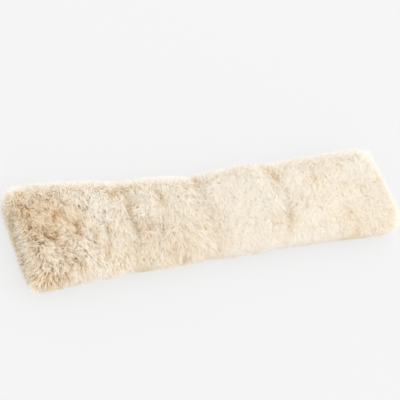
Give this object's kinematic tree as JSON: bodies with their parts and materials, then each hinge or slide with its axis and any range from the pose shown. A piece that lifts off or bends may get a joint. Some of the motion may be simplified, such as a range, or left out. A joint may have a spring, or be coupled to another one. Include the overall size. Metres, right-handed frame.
{
  "type": "draught excluder",
  "caption": "Long sheepskin draught excluder: a filled, crowned cushion of skins sewn end to end, with shaggy cream wool standing out all round.",
  "frame": {"origin": "middle of the flat patch that the cushion rests on, at the base of its outer box", "axes": "+X along the cushion, from the end nearest the camera to the far end, +Y across it, towards the long edge that is uppermost in the picture, +Z out of the face that shows"},
  "size_m": [0.92, 0.206, 0.086],
  "materials": {
    "wool": "undyed cream sheepskin, long soft wool in locks, matt with a slight sheen at the tips"
  },
  "bodies": {
    "root": {"sheepskin_cushion": "wool"}
  },
  "joints": []
}
